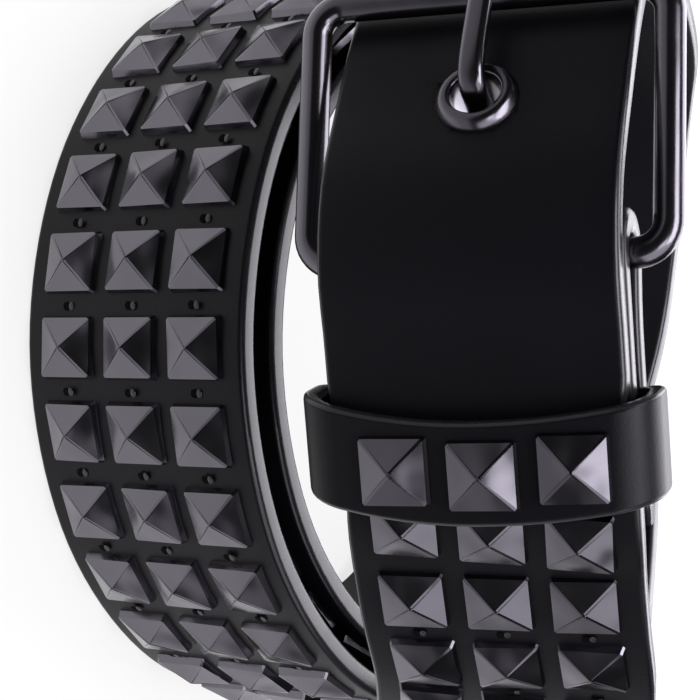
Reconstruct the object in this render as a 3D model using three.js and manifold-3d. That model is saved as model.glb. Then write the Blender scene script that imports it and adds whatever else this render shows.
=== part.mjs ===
// Pyramid-studded belt, buckled, coiled in three turns and standing on the edges of its strap.
// Millimetres, +Z up. The coil's axis is Z, the buckle is on the near side (-Y), and the
// strap's lower edges stand on z = 0.

import * as THREE from 'three';
import { mergeVertices } from 'three/addons/utils/BufferGeometryUtils.js';
import Module from 'manifold-3d';

const wasm = await Module();
wasm.setup();

// Strap and studs
const strapWidth = 38;
const strapThickness = 3.3;
const strapEdge = 0.6;              // chamfer along the painted edges
const studSize = 8.8;
const studRim = 0.7;                // upright wall of a stud, below its facets
const studInset = 0.25;             // how far the wall leans in
const studHeight = 2.4;
const rowPitch = 11.67;
const backRows = { from: 4, to: 17, extraPitch: 0.125 };   // set a little wider on the far side
const columnPitch = 11.2;
const columns = 3;
const firstRowGap = 3.2;            // from the keeper to the middle of the first row
const holePitch = 25;
const holeCount = 5;
const bareBeyondHoles = 20;         // from the last hole to the middle of the last row
const tipLength = 14;               // the rounded end of the strap
const tipRound = 0.86;

// Coil
const coilRadius = 57.9;            // outer face of the coil's outer turn, on the near side
const layerClearance = 1.1;         // air between a stud's point and the next turn
const layerSpacing = strapThickness + studHeight + layerClearance;
const strandGap = 18;               // between the coil's upper edges and the buckled strand
const topRise = strapWidth + strandGap;
const topTilt = THREE.MathUtils.degToRad(14);   // the buckled strand leans back
const topDrift = 0.03;              // and climbs towards the keeper
const heelAlong = -0.19 * coilRadius;
const heelNear = -0.974 * coilRadius;
const heelHeight = strapWidth / 2 + topRise - 2;

// Buckle
const barRadius = 2;
const frameWidth = 50.5;            // outside, across the strap
const frameReach = 34.5;            // from the heel bar's middle to the front bar's middle
const frameTilt = THREE.MathUtils.degToRad(10);
const frameCorner = 4;              // of the bars' middle line
const fitGap = 0.35;                // between pieces that lie on one another
const prongThickness = 2.6;
const prongWidth = 3.9;
const prongTipShare = 0.8;          // of the prong's section, at its end
const prongOverhang = 2.2;          // beyond the front bar's middle
const eyeletAbove = 3.2;            // strap's middle there, outside the frame's own middle
const prongLean = 1.4;              // slant of the prong inside its eyelet
const eyeletAlongFrame = 0.54;      // share of frameReach where the prong passes the strap
const behindBarGap = 0.55;          // between the front bar and the free end behind it
const shoulderBack = 0.54;          // where the free end bends, as a share of heelToKeeper
const shoulderDrop = 0.76;          // and its drop there, as a share of the fold's radius
const heelLift = 0.25;              // of the free end above the fold
const slotReach = 3;                // of the prong's slot beyond the strap's faces
const slotSideGap = 0.8;            // beside the prong

// Keeper and folded tab
const flatTilt = THREE.MathUtils.degToRad(10);  // heel bar to keeper, against X
const heelToKeeper = 17.5;
const keeperLength = 13;
const keeperWall = 2.4;
const keeperSideGap = 1.3;
const keeperCorner = 4.2;
const keeperStudShift = 1.6;        // its studs sit a little above the middle
const tabBeyondKeeper = 4;
const tipInsideKeeper = 3;          // the free end stops short of the keeper's far edge

// Eyelets and rivets
const eyeletBore = 3.3;
const eyeletTube = 4.1;
const eyeletFlange = 5.4;
const eyeletLip = 0.9;
const eyeletSeat = 0.75;
const rivetRadius = 1.9;
const rivetHead = 3;
const rivetHeadHeight = 1;
const rivetSpread = 20;             // between the two rivets, across the strap
const rivetFromHeel = 12.6;
const rivetClearance = 0.3;
const rivetFlush = 0.1;             // its front end below the strap's face

// Colours
const leatherBlack = 0x1d1b20;
const metalBlack = 0x2b2a2e;

// The strap between the flat stretch at the keeper and the front bar. turn: degrees round the
// coil from its near side. layer: outer face, in layer spacings outside coilRadius. rise: share
// of topRise. tilt: share of topTilt.
const TOP_TO_COIL = [
  { turn: 30, layer: -0.1, rise: 0.937, tilt: 1.3 },
  { turn: 40, layer: -0.08, rise: 0.903, tilt: 1.35 },
  { turn: 52, layer: 0.015, rise: 0.852, tilt: 1.4 },
  { turn: 66, layer: 0.215, rise: 0.741, tilt: 1.4 },
  { turn: 80, layer: 0.425, rise: 0.617, tilt: 1.2 },
  { turn: 96, layer: 0.56, rise: 0.48, tilt: 1 },
  { turn: 112, layer: 0.6, rise: 0.355, tilt: 0.6 },
  { turn: 130, layer: 0.57, rise: 0.25, tilt: 0.2 },
  { turn: 152, layer: 0.51, rise: 0.165, tilt: 0 },
  { turn: 175, layer: 0.47, rise: 0.095, tilt: 0 },
  { turn: 205, layer: 0.43, rise: 0.032, tilt: 0 },
  { turn: 235, layer: 0.35, rise: 0.008, tilt: 0 },
  { turn: 265, layer: 0.27, rise: 0.001, tilt: 0 },
];
const COIL_FROM = 300;
const COIL_TO = 780;
const COIL_STEP = 30;
const COIL_TO_TOP = [
  { turn: 810, layer: -1.25, rise: 0.0078, tilt: 0 },
  { turn: 840, layer: -1.33, rise: 0.054, tilt: 0 },
  { turn: 870, layer: -1.42, rise: 0.134, tilt: 0 },
  { turn: 900, layer: -1.5, rise: 0.23, tilt: 0 },
  { turn: 922, layer: -1.6, rise: 0.3, tilt: 0.3 },
  { turn: 945, layer: -1.7, rise: 0.4, tilt: 0.7 },
  { turn: 968, layer: -1.75, rise: 0.54, tilt: 1 },
  { turn: 984, layer: -1.62, rise: 0.645, tilt: 1.2 },
  { turn: 996, layer: -1.2, rise: 0.71, tilt: 1.2 },
  { turn: 1005, layer: -0.61, rise: 0.755, tilt: 1.2 },
  { turn: 1015, layer: 0.02, rise: 0.8, tilt: 1.1 },
  { turn: 1026.2, layer: 0.6, rise: 0.845, tilt: 1 },
];

// The buckled strand lies in a tilted plane. In it a runs towards the keeper and b towards the
// coil's far side; across is measured along the strap's width, upwards.
const topAcross = new THREE.Vector3(-topDrift, Math.sin(topTilt), Math.cos(topTilt)).normalize();
const topAlong = new THREE.Vector3(1, 0, 0).addScaledVector(topAcross, -topAcross.x).normalize();
const topInward = new THREE.Vector3().crossVectors(topAcross, topAlong);
const heel = new THREE.Vector2(heelAlong, heelNear);
const topOrigin = new THREE.Vector3(0, 0, heelHeight - heel.y * topInward.z - heel.x * topAlong.z);

function topPoint(flat, across = 0) {
  return topOrigin.clone()
    .addScaledVector(topAlong, flat.x)
    .addScaledVector(topInward, flat.y)
    .addScaledVector(topAcross, across);
}

function turned(angle, length) {
  return new THREE.Vector2(Math.cos(angle) * length, Math.sin(angle) * length);
}

// Flat layout of the buckle: main layer, folded tab and free end run parallel at flatTilt
const foldRadius = barRadius + fitGap + strapThickness / 2;
const freeStep = foldRadius + strapThickness + fitGap;
const tabStep = strapThickness + keeperWall + 2 * fitGap;
const outwardAngle = flatTilt - Math.PI / 2;
const keeperMiddle = heelToKeeper + keeperLength / 2;
const tabEnd = heelToKeeper + keeperLength + tabBeyondKeeper;

function flatAt(along, outward) {
  return heel.clone().add(turned(flatTilt, along)).add(turned(outwardAngle, outward));
}

const frameAlong = Math.PI - frameTilt;
const frameOutward = -Math.PI / 2 - frameTilt;
const frontBar = heel.clone().add(turned(frameAlong, frameReach));
const behindBar = barRadius + behindBarGap + strapThickness / 2;
const eyeletPoint = heel.clone()
  .add(turned(frameAlong, frameReach * eyeletAlongFrame))
  .add(turned(frameOutward, eyeletAbove));
const freeShoulder = flatAt(-shoulderBack * heelToKeeper, freeStep - shoulderDrop * foldRadius);

// Control points of the strap's middle line from the tab's end, through the fold, to the tip
function strapRoute() {
  const points = [];
  const add = (position, across) => points.push({ position, across });
  const addFlat = (flat) => add(topPoint(flat), topAcross);
  const addTurn = ({ turn, layer, rise, tilt }) => {
    const angle = THREE.MathUtils.degToRad(turn);
    const radius = coilRadius + layer * layerSpacing - strapThickness / 2;
    const height = strapWidth / 2 + rise * topRise;
    add(
      new THREE.Vector3(radius * Math.sin(angle), -radius * Math.cos(angle), height),
      new THREE.Vector3(0, Math.sin(topTilt * tilt), Math.cos(topTilt * tilt)),
    );
  };

  // Tab behind the keeper, and the fold round the heel bar
  const foldSteps = 10;
  addFlat(flatAt(tabEnd, foldRadius - tabStep));
  addFlat(flatAt(keeperMiddle, foldRadius - tabStep));
  addFlat(flatAt(foldRadius * 2, foldRadius - tabStep));
  for (let i = 0; i <= foldSteps; i++) {
    const angle = outwardAngle + Math.PI * (1 + i / foldSteps);
    addFlat(heel.clone().add(turned(angle, foldRadius)));
  }
  addFlat(flatAt(heelToKeeper * 0.3, foldRadius));
  addFlat(flatAt(heelToKeeper, foldRadius));
  addFlat(flatAt(keeperMiddle, foldRadius));
  addFlat(flatAt(heelToKeeper + keeperLength + 1, foldRadius));

  // Three turns of the coil
  TOP_TO_COIL.forEach(addTurn);
  for (let turn = COIL_FROM; turn <= COIL_TO; turn += COIL_STEP) {
    addTurn({ turn, layer: (360 - turn) / 360, rise: 0, tilt: 0 });
  }
  COIL_TO_TOP.forEach(addTurn);

  // Free end: behind the front bar, up over the heel bar and into the keeper
  addFlat(frontBar.clone().add(turned(Math.PI / 4, behindBar)));
  addFlat(eyeletPoint);
  addFlat(freeShoulder);
  addFlat(flatAt(0, freeStep + heelLift));
  addFlat(flatAt(heelToKeeper * 0.5, freeStep));
  addFlat(flatAt(heelToKeeper, freeStep));
  addFlat(flatAt(heelToKeeper + keeperLength - tipInsideKeeper, freeStep));
  return points;
}

// Frames along the route: p on the middle line, t along it, w across the strap, n out of its face
class Route {
  constructor(points) {
    this.curve = new THREE.CatmullRomCurve3(points.map((point) => point.position), false, 'centripetal');
    this.across = points.map((point) => point.across);
    this.samples = 4000;
    this.lengths = [0];
    let last = this.curve.getPoint(0);
    for (let i = 1; i <= this.samples; i++) {
      const next = this.curve.getPoint(i / this.samples);
      this.lengths.push(this.lengths[i - 1] + next.distanceTo(last));
      last = next;
    }
    this.length = this.lengths[this.samples];
  }

  parameterAt(distance) {
    let low = 0;
    let high = this.samples;
    while (high - low > 1) {
      const middle = (low + high) >> 1;
      if (this.lengths[middle] <= distance) low = middle;
      else high = middle;
    }
    const span = this.lengths[high] - this.lengths[low];
    return (low + (distance - this.lengths[low]) / span) / this.samples;
  }

  frameAt(distance) {
    const u = Math.min(Math.max(this.parameterAt(distance), 0), 1);
    const place = u * (this.across.length - 1);
    const index = Math.min(Math.floor(place), this.across.length - 2);
    const blend = THREE.MathUtils.smoothstep(place - index, 0, 1);
    const t = this.curve.getTangent(u).normalize();
    const w = this.across[index].clone().lerp(this.across[index + 1], blend);
    w.addScaledVector(t, -w.dot(t)).normalize();
    return { p: this.curve.getPoint(u), t, w, n: new THREE.Vector3().crossVectors(t, w) };
  }

  // Distance along the route of the point nearest to target, between two distances
  nearest(target, from, to) {
    let best = from;
    let bestGap = Infinity;
    for (let distance = from; distance <= to; distance += 0.1) {
      const gap = this.frameAt(distance).p.distanceTo(target);
      if (gap < bestGap) {
        bestGap = gap;
        best = distance;
      }
    }
    return best;
  }
}

function place(frame, across, out) {
  return frame.p.clone().addScaledVector(frame.w, across).addScaledVector(frame.n, out);
}

// Closed meshes from shared points
class Solid {
  constructor() {
    this.points = [];
    this.faces = [];
  }

  point(vector) {
    this.points.push(vector.x, vector.y, vector.z);
    return this.points.length / 3 - 1;
  }

  quad(a, b, c, d) {
    this.faces.push(a, b, c, a, c, d);
  }

  // A four-sided pyramid with an upright wall, on four corner points of a face
  stud(corners, positions, out) {
    const middle = positions.reduce((sum, at) => sum.add(at), new THREE.Vector3()).multiplyScalar(0.25);
    const lean = 1 - (2 * studInset) / studSize;
    const rims = positions.map((at) => this.point(
      middle.clone().lerp(at, lean).addScaledVector(out, studRim),
    ));
    const tip = this.point(middle.clone().addScaledVector(out, studHeight));
    for (let i = 0; i < 4; i++) {
      const j = (i + 1) % 4;
      this.quad(corners[i], corners[j], rims[j], rims[i]);
      this.faces.push(rims[i], rims[j], tip);
    }
  }

  geometry() {
    const geometry = new THREE.BufferGeometry();
    geometry.setAttribute('position', new THREE.Float32BufferAttribute(this.points, 3));
    geometry.setIndex(this.faces);
    return geometry;
  }
}

function volumeOf(geometry) {
  const at = geometry.attributes.position;
  const index = geometry.index;
  const [a, b, c] = [new THREE.Vector3(), new THREE.Vector3(), new THREE.Vector3()];
  let sum = 0;
  for (let i = 0; i < index.count; i += 3) {
    a.fromBufferAttribute(at, index.getX(i));
    b.fromBufferAttribute(at, index.getX(i + 1));
    c.fromBufferAttribute(at, index.getX(i + 2));
    sum += a.dot(b.cross(c)) / 6;
  }
  return sum;
}

function facingOut(geometry) {
  if (volumeOf(geometry) > 0) return geometry;
  const faces = Array.from(geometry.index.array);
  for (let i = 0; i < faces.length; i += 3) {
    [faces[i + 1], faces[i + 2]] = [faces[i + 2], faces[i + 1]];
  }
  geometry.setIndex(faces);
  return geometry;
}

function toManifold(geometry) {
  const plain = geometry.clone();
  plain.deleteAttribute('normal');
  plain.deleteAttribute('uv');
  const merged = facingOut(mergeVertices(plain, 1e-4));
  return new wasm.Manifold(new wasm.Mesh({
    numProp: 3,
    vertProperties: new Float32Array(merged.attributes.position.array),
    triVerts: new Uint32Array(merged.index.array),
  }));
}

function fromManifold(solid) {
  const mesh = solid.getMesh();
  const geometry = new THREE.BufferGeometry();
  geometry.setAttribute('position', new THREE.BufferAttribute(new Float32Array(mesh.vertProperties), 3));
  geometry.setIndex(new THREE.BufferAttribute(new Uint32Array(mesh.triVerts), 1));
  return geometry;
}

// Turns a shape so that its own X, Y and Z axes lie along three given directions
function posed(geometry, x, y, z, origin) {
  const matrix = new THREE.Matrix4().makeBasis(x, y, z).setPosition(origin);
  return geometry.clone().applyMatrix4(matrix);
}

function addNode(group, name, geometry, colour, roughness, metalness) {
  const flat = geometry.index ? geometry.toNonIndexed() : geometry;
  flat.computeVertexNormals();
  const mesh = new THREE.Mesh(flat, new THREE.MeshStandardMaterial({ color: colour, roughness, metalness }));
  mesh.name = name;
  group.add(mesh);
}

const route = new Route(strapRoute());
const foldEnd = route.nearest(topPoint(flatAt(0, foldRadius)), tabEnd, 3 * tabEnd);
const keeperEnd = foldEnd + heelToKeeper + keeperLength;
const tipEnd = route.length;
const eyeletAt = route.nearest(topPoint(eyeletPoint), tipEnd - 2 * frameReach, tipEnd - tipLength);
const holesAt = Array.from({ length: holeCount }, (_, i) => eyeletAt - i * holePitch);

// Middles of the rows of studs, from the keeper to the last hole
const rowsAt = [];
const lastRow = holesAt[holeCount - 1] - bareBeyondHoles;
for (let at = keeperEnd + firstRowGap; at <= lastRow; at += rowPitch) {
  rowsAt.push(at);
  if (rowsAt.length > backRows.from && rowsAt.length <= backRows.to) at += backRows.extraPitch;
}

// Distances along the route where the strap gets a cross-section
function strapStations() {
  const stations = [];
  const plainStep = 5;
  const foldStep = 1.4;
  const tipStep = 2.4;
  const fill = (from, to, step) => {
    const count = Math.max(1, Math.round((to - from) / step));
    for (let i = 0; i < count; i++) stations.push(from + ((to - from) * i) / count);
  };
  const foldStart = foldEnd - 1.25 * Math.PI * foldRadius;
  const studsStart = rowsAt[0] - studSize / 2;
  const studsEnd = rowsAt[rowsAt.length - 1] + studSize / 2;
  fill(0, foldStart, plainStep);
  fill(foldStart, foldEnd + 1, foldStep);
  fill(foldEnd + 1, studsStart, plainStep);
  for (const at of rowsAt) stations.push(at - studSize / 2, at + studSize / 2);
  fill(studsEnd + plainStep, tipEnd - tipLength, plainStep);
  fill(tipEnd - tipLength, tipEnd, tipStep);
  stations.push(tipEnd);
  return stations;
}

// Share of the full width at a distance along the route: the free end is a rounded point
function tipWidth(distance) {
  const past = Math.max(0, distance - (tipEnd - tipLength)) / tipLength;
  return Math.sqrt(1 - tipRound * past * past);
}

// Lines along the front face: its edges and the sides of each column of studs
function frontLines() {
  const edge = strapWidth / 2 - strapEdge;
  const lines = [-edge];
  for (let column = 0; column < columns; column++) {
    const middle = (column - (columns - 1) / 2) * columnPitch;
    lines.push(middle - studSize / 2, middle + studSize / 2);
  }
  lines.push(edge);
  return lines;
}

function bareStrap() {
  const solid = new Solid();
  const half = strapThickness / 2;
  const side = strapWidth / 2;
  const profile = frontLines().map((across) => [across, half]);
  const frontCells = profile.length - 1;
  profile.push([side, half - strapEdge], [side, -half], [-side, -half], [-side, half - strapEdge]);

  const stations = strapStations();
  const frames = stations.map((at) => route.frameAt(at));
  const rowStarts = new Set(rowsAt.map((at) => stations.indexOf(at - studSize / 2)));
  const rings = frames.map((frame, i) => profile.map(([across, out]) => (
    solid.point(place(frame, across * tipWidth(stations[i]), out))
  )));
  for (let i = 0; i < rings.length - 1; i++) {
    for (let j = 0; j < profile.length; j++) {
      const k = (j + 1) % profile.length;
      const corners = [rings[i][j], rings[i + 1][j], rings[i + 1][k], rings[i][k]];
      if (rowStarts.has(i) && j < frontCells && j % 2 === 1) {
        const at = [[i, j], [i + 1, j], [i + 1, k], [i, k]];
        const positions = at.map(([row, line]) => place(frames[row], profile[line][0], half));
        solid.stud(corners, positions, frames[i].n.clone().add(frames[i + 1].n).normalize());
      } else {
        solid.quad(...corners);
      }
    }
  }
  const [first, last] = [rings[0], rings[rings.length - 1]];
  for (let j = 1; j < profile.length - 1; j++) {
    solid.faces.push(first[0], first[j], first[j + 1]);
    solid.faces.push(last[0], last[j + 1], last[j]);
  }
  return toManifold(solid.geometry());
}

// Directions of the flat stretch at the buckle
const alongFlat = topPoint(turned(flatTilt, 1)).sub(topPoint(turned(0, 0)));
const outOfFlat = topPoint(turned(outwardAngle, 1)).sub(topPoint(turned(0, 0)));

// A round pin through a face: radius, and its two ends measured along out from at
function pinThrough(radius, from, to, at, across, out) {
  const pin = new THREE.CylinderGeometry(radius, radius, to - from, 16);
  const middle = at.clone().addScaledVector(out, (from + to) / 2);
  return toManifold(posed(pin, across, out, new THREE.Vector3().crossVectors(across, out), middle));
}

const rivetPlaces = [-1, 1].map((side) => topPoint(flatAt(rivetFromHeel, 0), (side * rivetSpread) / 2));
const mainFront = foldRadius + strapThickness / 2;
const tabBack = foldRadius - tabStep - strapThickness / 2;

// The slot in the fold lets the prong turn on the heel bar
function prongSlot() {
  const depth = mainFront - tabBack + 2 * slotReach;
  const length = 2 * (foldRadius + strapThickness);
  const box = new THREE.BoxGeometry(length, depth, prongWidth + 2 * slotSideGap);
  const middle = topPoint(flatAt(-0.1 * length, mainFront + fitGap / 2 - depth / 2));
  return toManifold(posed(box, alongFlat, outOfFlat, topAcross.clone().negate(), middle));
}

function studdedStrap() {
  let strap = bareStrap();
  for (const at of holesAt) {
    const { p, w, n } = route.frameAt(at);
    strap = strap.subtract(pinThrough(eyeletTube + fitGap, -strapThickness, strapThickness, p, w, n));
  }
  for (const at of rivetPlaces) {
    const hole = pinThrough(
      rivetRadius + rivetClearance, tabBack - 1, mainFront + fitGap / 2, at, topAcross, outOfFlat,
    );
    strap = strap.subtract(hole);
  }
  return fromManifold(strap.subtract(prongSlot()));
}

// A closed or open tube of flat-sided section along frames that hold p, w and n
function tubeThrough(frames, sides, closed) {
  const solid = new Solid();
  const rings = frames.map(({ p, w, n, across, through }) => {
    const ring = [];
    for (let i = 0; i < sides; i++) {
      const angle = (2 * Math.PI * (i + 0.5)) / sides;
      const at = place({ p, w, n }, (across / 2) * Math.cos(angle), (through / 2) * Math.sin(angle));
      ring.push(solid.point(at));
    }
    return ring;
  });
  const count = closed ? rings.length : rings.length - 1;
  for (let i = 0; i < count; i++) {
    const next = rings[(i + 1) % rings.length];
    for (let j = 0; j < sides; j++) {
      const k = (j + 1) % sides;
      solid.quad(rings[i][j], next[j], next[k], rings[i][k]);
    }
  }
  if (!closed) {
    const last = rings[rings.length - 1];
    for (let j = 1; j < sides - 1; j++) {
      solid.faces.push(rings[0][0], rings[0][j], rings[0][j + 1]);
      solid.faces.push(last[0], last[j + 1], last[j]);
    }
  }
  return facingOut(solid.geometry());
}

function buckleFrame() {
  const barSides = 10;
  const cornerSteps = 5;
  const reach = frameReach / 2;
  const side = frameWidth / 2 - barRadius;
  const frames = [];
  for (let corner = 0; corner < 4; corner++) {
    const signAlong = corner === 0 || corner === 3 ? 1 : -1;
    const signAcross = corner < 2 ? 1 : -1;
    for (let i = 0; i <= cornerSteps; i++) {
      const angle = (Math.PI / 2) * (corner + i / cornerSteps);
      const along = signAlong * (reach - frameCorner) + frameCorner * Math.cos(angle) + reach;
      const across = signAcross * (side - frameCorner) + frameCorner * Math.sin(angle);
      const flat = heel.clone().add(turned(frameAlong, along));
      const outDirection = topPoint(turned(frameAlong, Math.cos(angle))).sub(topPoint(turned(0, 0)));
      outDirection.addScaledVector(topAcross, Math.sin(angle));
      const n = topPoint(turned(frameOutward, 1)).sub(topPoint(turned(0, 0)));
      frames.push({
        p: topPoint(flat, across), w: outDirection, n, across: 2 * barRadius, through: 2 * barRadius,
      });
    }
  }
  return tubeThrough(frames, barSides, true);
}

// The prong hooks round the heel bar, runs under the free end, rises through its eyelet and
// rests its tip on the front bar
function prong() {
  const half = prongThickness / 2;
  const hook = barRadius + fitGap + half;
  const points = [];
  const hookSteps = 9;
  const hookStart = outwardAngle + THREE.MathUtils.degToRad(250);
  for (let i = 0; i <= hookSteps; i++) {
    const angle = hookStart + (outwardAngle - hookStart) * (i / hookSteps);
    points.push(heel.clone().add(turned(angle, hook)));
  }
  const strapAlong = Math.atan2(frontBar.y - freeShoulder.y, frontBar.x - freeShoulder.x);
  const strapOut = strapAlong + Math.PI / 2;
  const pass = strapThickness / 2 + eyeletSeat + eyeletLip + half + fitGap;
  const bentAt = (out, along) => eyeletPoint.clone()
    .add(turned(strapOut, out))
    .add(turned(strapAlong, along));
  points.push(bentAt(-pass, -prongLean));
  points.push(bentAt(0, 0));
  points.push(bentAt(pass, prongLean));
  const onBar = frontBar.clone().add(turned(frameOutward, hook));
  points.push(onBar);
  points.push(onBar.clone().add(turned(frameAlong, prongOverhang)));

  const curve = new THREE.CatmullRomCurve3(points.map((flat) => topPoint(flat)), false, 'centripetal');
  const steps = points.length * 2 - 2;
  const frames = [];
  for (let i = 0; i <= steps; i++) {
    const t = curve.getTangent(i / steps);
    const share = 1 + (prongTipShare - 1) * (i / steps);
    frames.push({
      p: curve.getPoint(i / steps),
      w: topAcross,
      n: new THREE.Vector3().crossVectors(t, topAcross).normalize(),
      across: prongWidth * share,
      through: prongThickness * share,
    });
  }
  return tubeThrough(frames, 8, false);
}

function roundedOutline(left, right, bottom, top, corner) {
  const outline = new THREE.Shape();
  const quarter = Math.PI / 2;
  outline.absarc(right - corner, top - corner, corner, 0, quarter);
  outline.absarc(left + corner, top - corner, corner, quarter, 2 * quarter);
  outline.absarc(left + corner, bottom + corner, corner, 2 * quarter, 3 * quarter);
  outline.absarc(right - corner, bottom + corner, corner, 3 * quarter, 4 * quarter);
  return outline;
}

// A loop with three studs on its front. Its own x runs across the strap and y out of its face.
function keeperLoop() {
  const side = strapWidth / 2 + keeperSideGap;
  const back = foldRadius - strapThickness / 2 - fitGap;
  const front = freeStep + strapThickness / 2 + fitGap;
  const outline = roundedOutline(
    -side - keeperWall, side + keeperWall, back - keeperWall, front + keeperWall, keeperCorner,
  );
  outline.holes.push(roundedOutline(-side, side, back, front, keeperCorner - keeperWall));
  const loop = new THREE.ExtrudeGeometry(outline, { depth: keeperLength, bevelEnabled: false, curveSegments: 5 });
  let solid = toManifold(loop);
  for (let column = 0; column < columns; column++) {
    const middle = keeperStudShift + (column - (columns - 1) / 2) * columnPitch;
    solid = solid.add(keeperStud(middle, front + keeperWall, keeperLength / 2));
  }
  const origin = topPoint(flatAt(heelToKeeper, 0));
  const geometry = fromManifold(solid);
  return facingOut(posed(geometry, topAcross, outOfFlat, alongFlat, origin));
}

function keeperStud(x, y, z) {
  const sink = 0.3;
  const solid = new Solid();
  const half = studSize / 2;
  const ends = [[-half, -half], [half, -half], [half, half], [-half, half]];
  const low = ends.map(([dx, dz]) => solid.point(new THREE.Vector3(x + dx, y - sink, z + dz)));
  const base = ends.map(([dx, dz]) => new THREE.Vector3(x + dx, y, z + dz));
  const corners = base.map((at) => solid.point(at));
  for (let i = 0; i < 4; i++) {
    const j = (i + 1) % 4;
    solid.quad(low[i], low[j], corners[j], corners[i]);
  }
  solid.quad(low[3], low[2], low[1], low[0]);
  solid.stud(corners, base, new THREE.Vector3(0, 1, 0));
  return toManifold(solid.geometry());
}

// A flanged tube in a hole of the strap
function eyelet(at) {
  const top = strapThickness / 2 + eyeletSeat + eyeletLip;
  const lip = top - eyeletLip;
  const outline = [
    [eyeletBore, -top], [eyeletFlange, -top], [eyeletFlange, -lip], [eyeletTube, -lip],
    [eyeletTube, lip], [eyeletFlange, lip], [eyeletFlange, top], [eyeletBore, top], [eyeletBore, -top],
  ];
  const turnedRing = new THREE.LatheGeometry(outline.map(([r, y]) => new THREE.Vector2(r, y)), 14);
  const { p, w, n } = route.frameAt(at);
  const ring = posed(turnedRing, w, n, new THREE.Vector3().crossVectors(w, n), p);
  return fromManifold(toManifold(ring));
}

// A plain rivet with its head behind the tab, flush with the main layer's front
function rivet(at) {
  const headFront = tabBack - fitGap;
  const shaft = pinThrough(rivetRadius, headFront - rivetHeadHeight / 2, mainFront - rivetFlush, at, topAcross, outOfFlat);
  const head = pinThrough(rivetHead, headFront - rivetHeadHeight, headFront, at, topAcross, outOfFlat);
  return fromManifold(shaft.add(head));
}

const group = new THREE.Group();
addNode(group, 'studded_strap', studdedStrap(), leatherBlack, 0.5, 0.1);
addNode(group, 'keeper_loop', keeperLoop(), leatherBlack, 0.5, 0.1);
addNode(group, 'buckle_frame', buckleFrame(), metalBlack, 0.3, 0.9);
addNode(group, 'prong', prong(), metalBlack, 0.3, 0.9);
holesAt.forEach((at, i) => addNode(group, `eyelet_${i + 1}`, eyelet(at), metalBlack, 0.35, 0.9));
rivetPlaces.forEach((at, i) => addNode(group, `tab_rivet_${i + 1}`, rivet(at), metalBlack, 0.4, 0.9));

// The origin is under the middle of the whole belt, on the floor
const bounds = new THREE.Box3().setFromObject(group);
const middle = bounds.getCenter(new THREE.Vector3());
group.position.set(-middle.x, -middle.y, -bounds.min.z);

export default group;
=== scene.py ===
"""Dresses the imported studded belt: leather strap, pressed studs, keeper, buckle and eyelets.

Lengths in the tables below are millimetres round the coil's axis; each finished mesh is moved
to the part's frame and turned to metres.
"""

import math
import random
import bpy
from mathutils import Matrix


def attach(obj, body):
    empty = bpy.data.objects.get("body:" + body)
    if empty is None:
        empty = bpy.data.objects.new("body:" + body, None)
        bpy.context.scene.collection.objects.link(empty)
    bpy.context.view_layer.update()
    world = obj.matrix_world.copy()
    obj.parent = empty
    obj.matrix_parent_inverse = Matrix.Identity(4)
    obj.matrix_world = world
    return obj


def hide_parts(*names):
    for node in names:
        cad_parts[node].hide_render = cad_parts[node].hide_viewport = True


bl_info = {
    "name": "Studded Belt",
    "version": (1, 0, 0),
    "blender": (4, 5, 0),
    "location": "View3D > Sidebar > Belt",
    "description": "Builds a coiled belt with pyramid studs round its packed frame",
    "category": "Object",
}

import bmesh
import bpy
from bpy.props import FloatProperty, FloatVectorProperty, IntProperty, PointerProperty
from mathutils import Matrix, Vector

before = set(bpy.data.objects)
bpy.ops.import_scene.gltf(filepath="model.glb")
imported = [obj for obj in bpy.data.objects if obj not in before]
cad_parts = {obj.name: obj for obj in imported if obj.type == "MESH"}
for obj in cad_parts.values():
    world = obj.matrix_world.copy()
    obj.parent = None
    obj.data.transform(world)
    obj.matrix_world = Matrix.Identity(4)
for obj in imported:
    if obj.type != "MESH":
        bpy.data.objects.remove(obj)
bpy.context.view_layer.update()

MM = 0.001
COIL_AXIS = Vector((-0.973, 2.6027, 0.0279))   # in the part's frame, in mm

# Strap and coil, as in the part's source
COLUMN_PITCH = 11.2
ROW_PITCH = 11.67
BACK_ROWS = (4, 17)
BACK_ROWS_EXTRA_PITCH = 0.125
COLUMNS = 3
FIRST_ROW_GAP = 3.2
HOLE_PITCH = 25.0
HOLE_COUNT = 5
BARE_BEYOND_HOLES = 20.0
TIP_LENGTH = 14.0
TIP_ROUND = 0.86
STRAP_STEP = 3.0
FINE_STEP = 1.0
EYELET_HOLE = 4.1
SLOT_WIDTH = 5.5
SLOT_LENGTH = 24.0
SLOT_CORNER = 2.6
WIDTH = 38.0
THICKNESS = 3.3
LAYER_SPACING = 6.8
COIL_RADIUS = 57.9
TOP_RISE = 56.0
TOP_TILT = math.radians(14)
TOP_DRIFT = 0.03
HEEL = Vector((-0.19 * COIL_RADIUS, -0.974 * COIL_RADIUS))
HEEL_HEIGHT = WIDTH / 2 + TOP_RISE - 2

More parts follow.
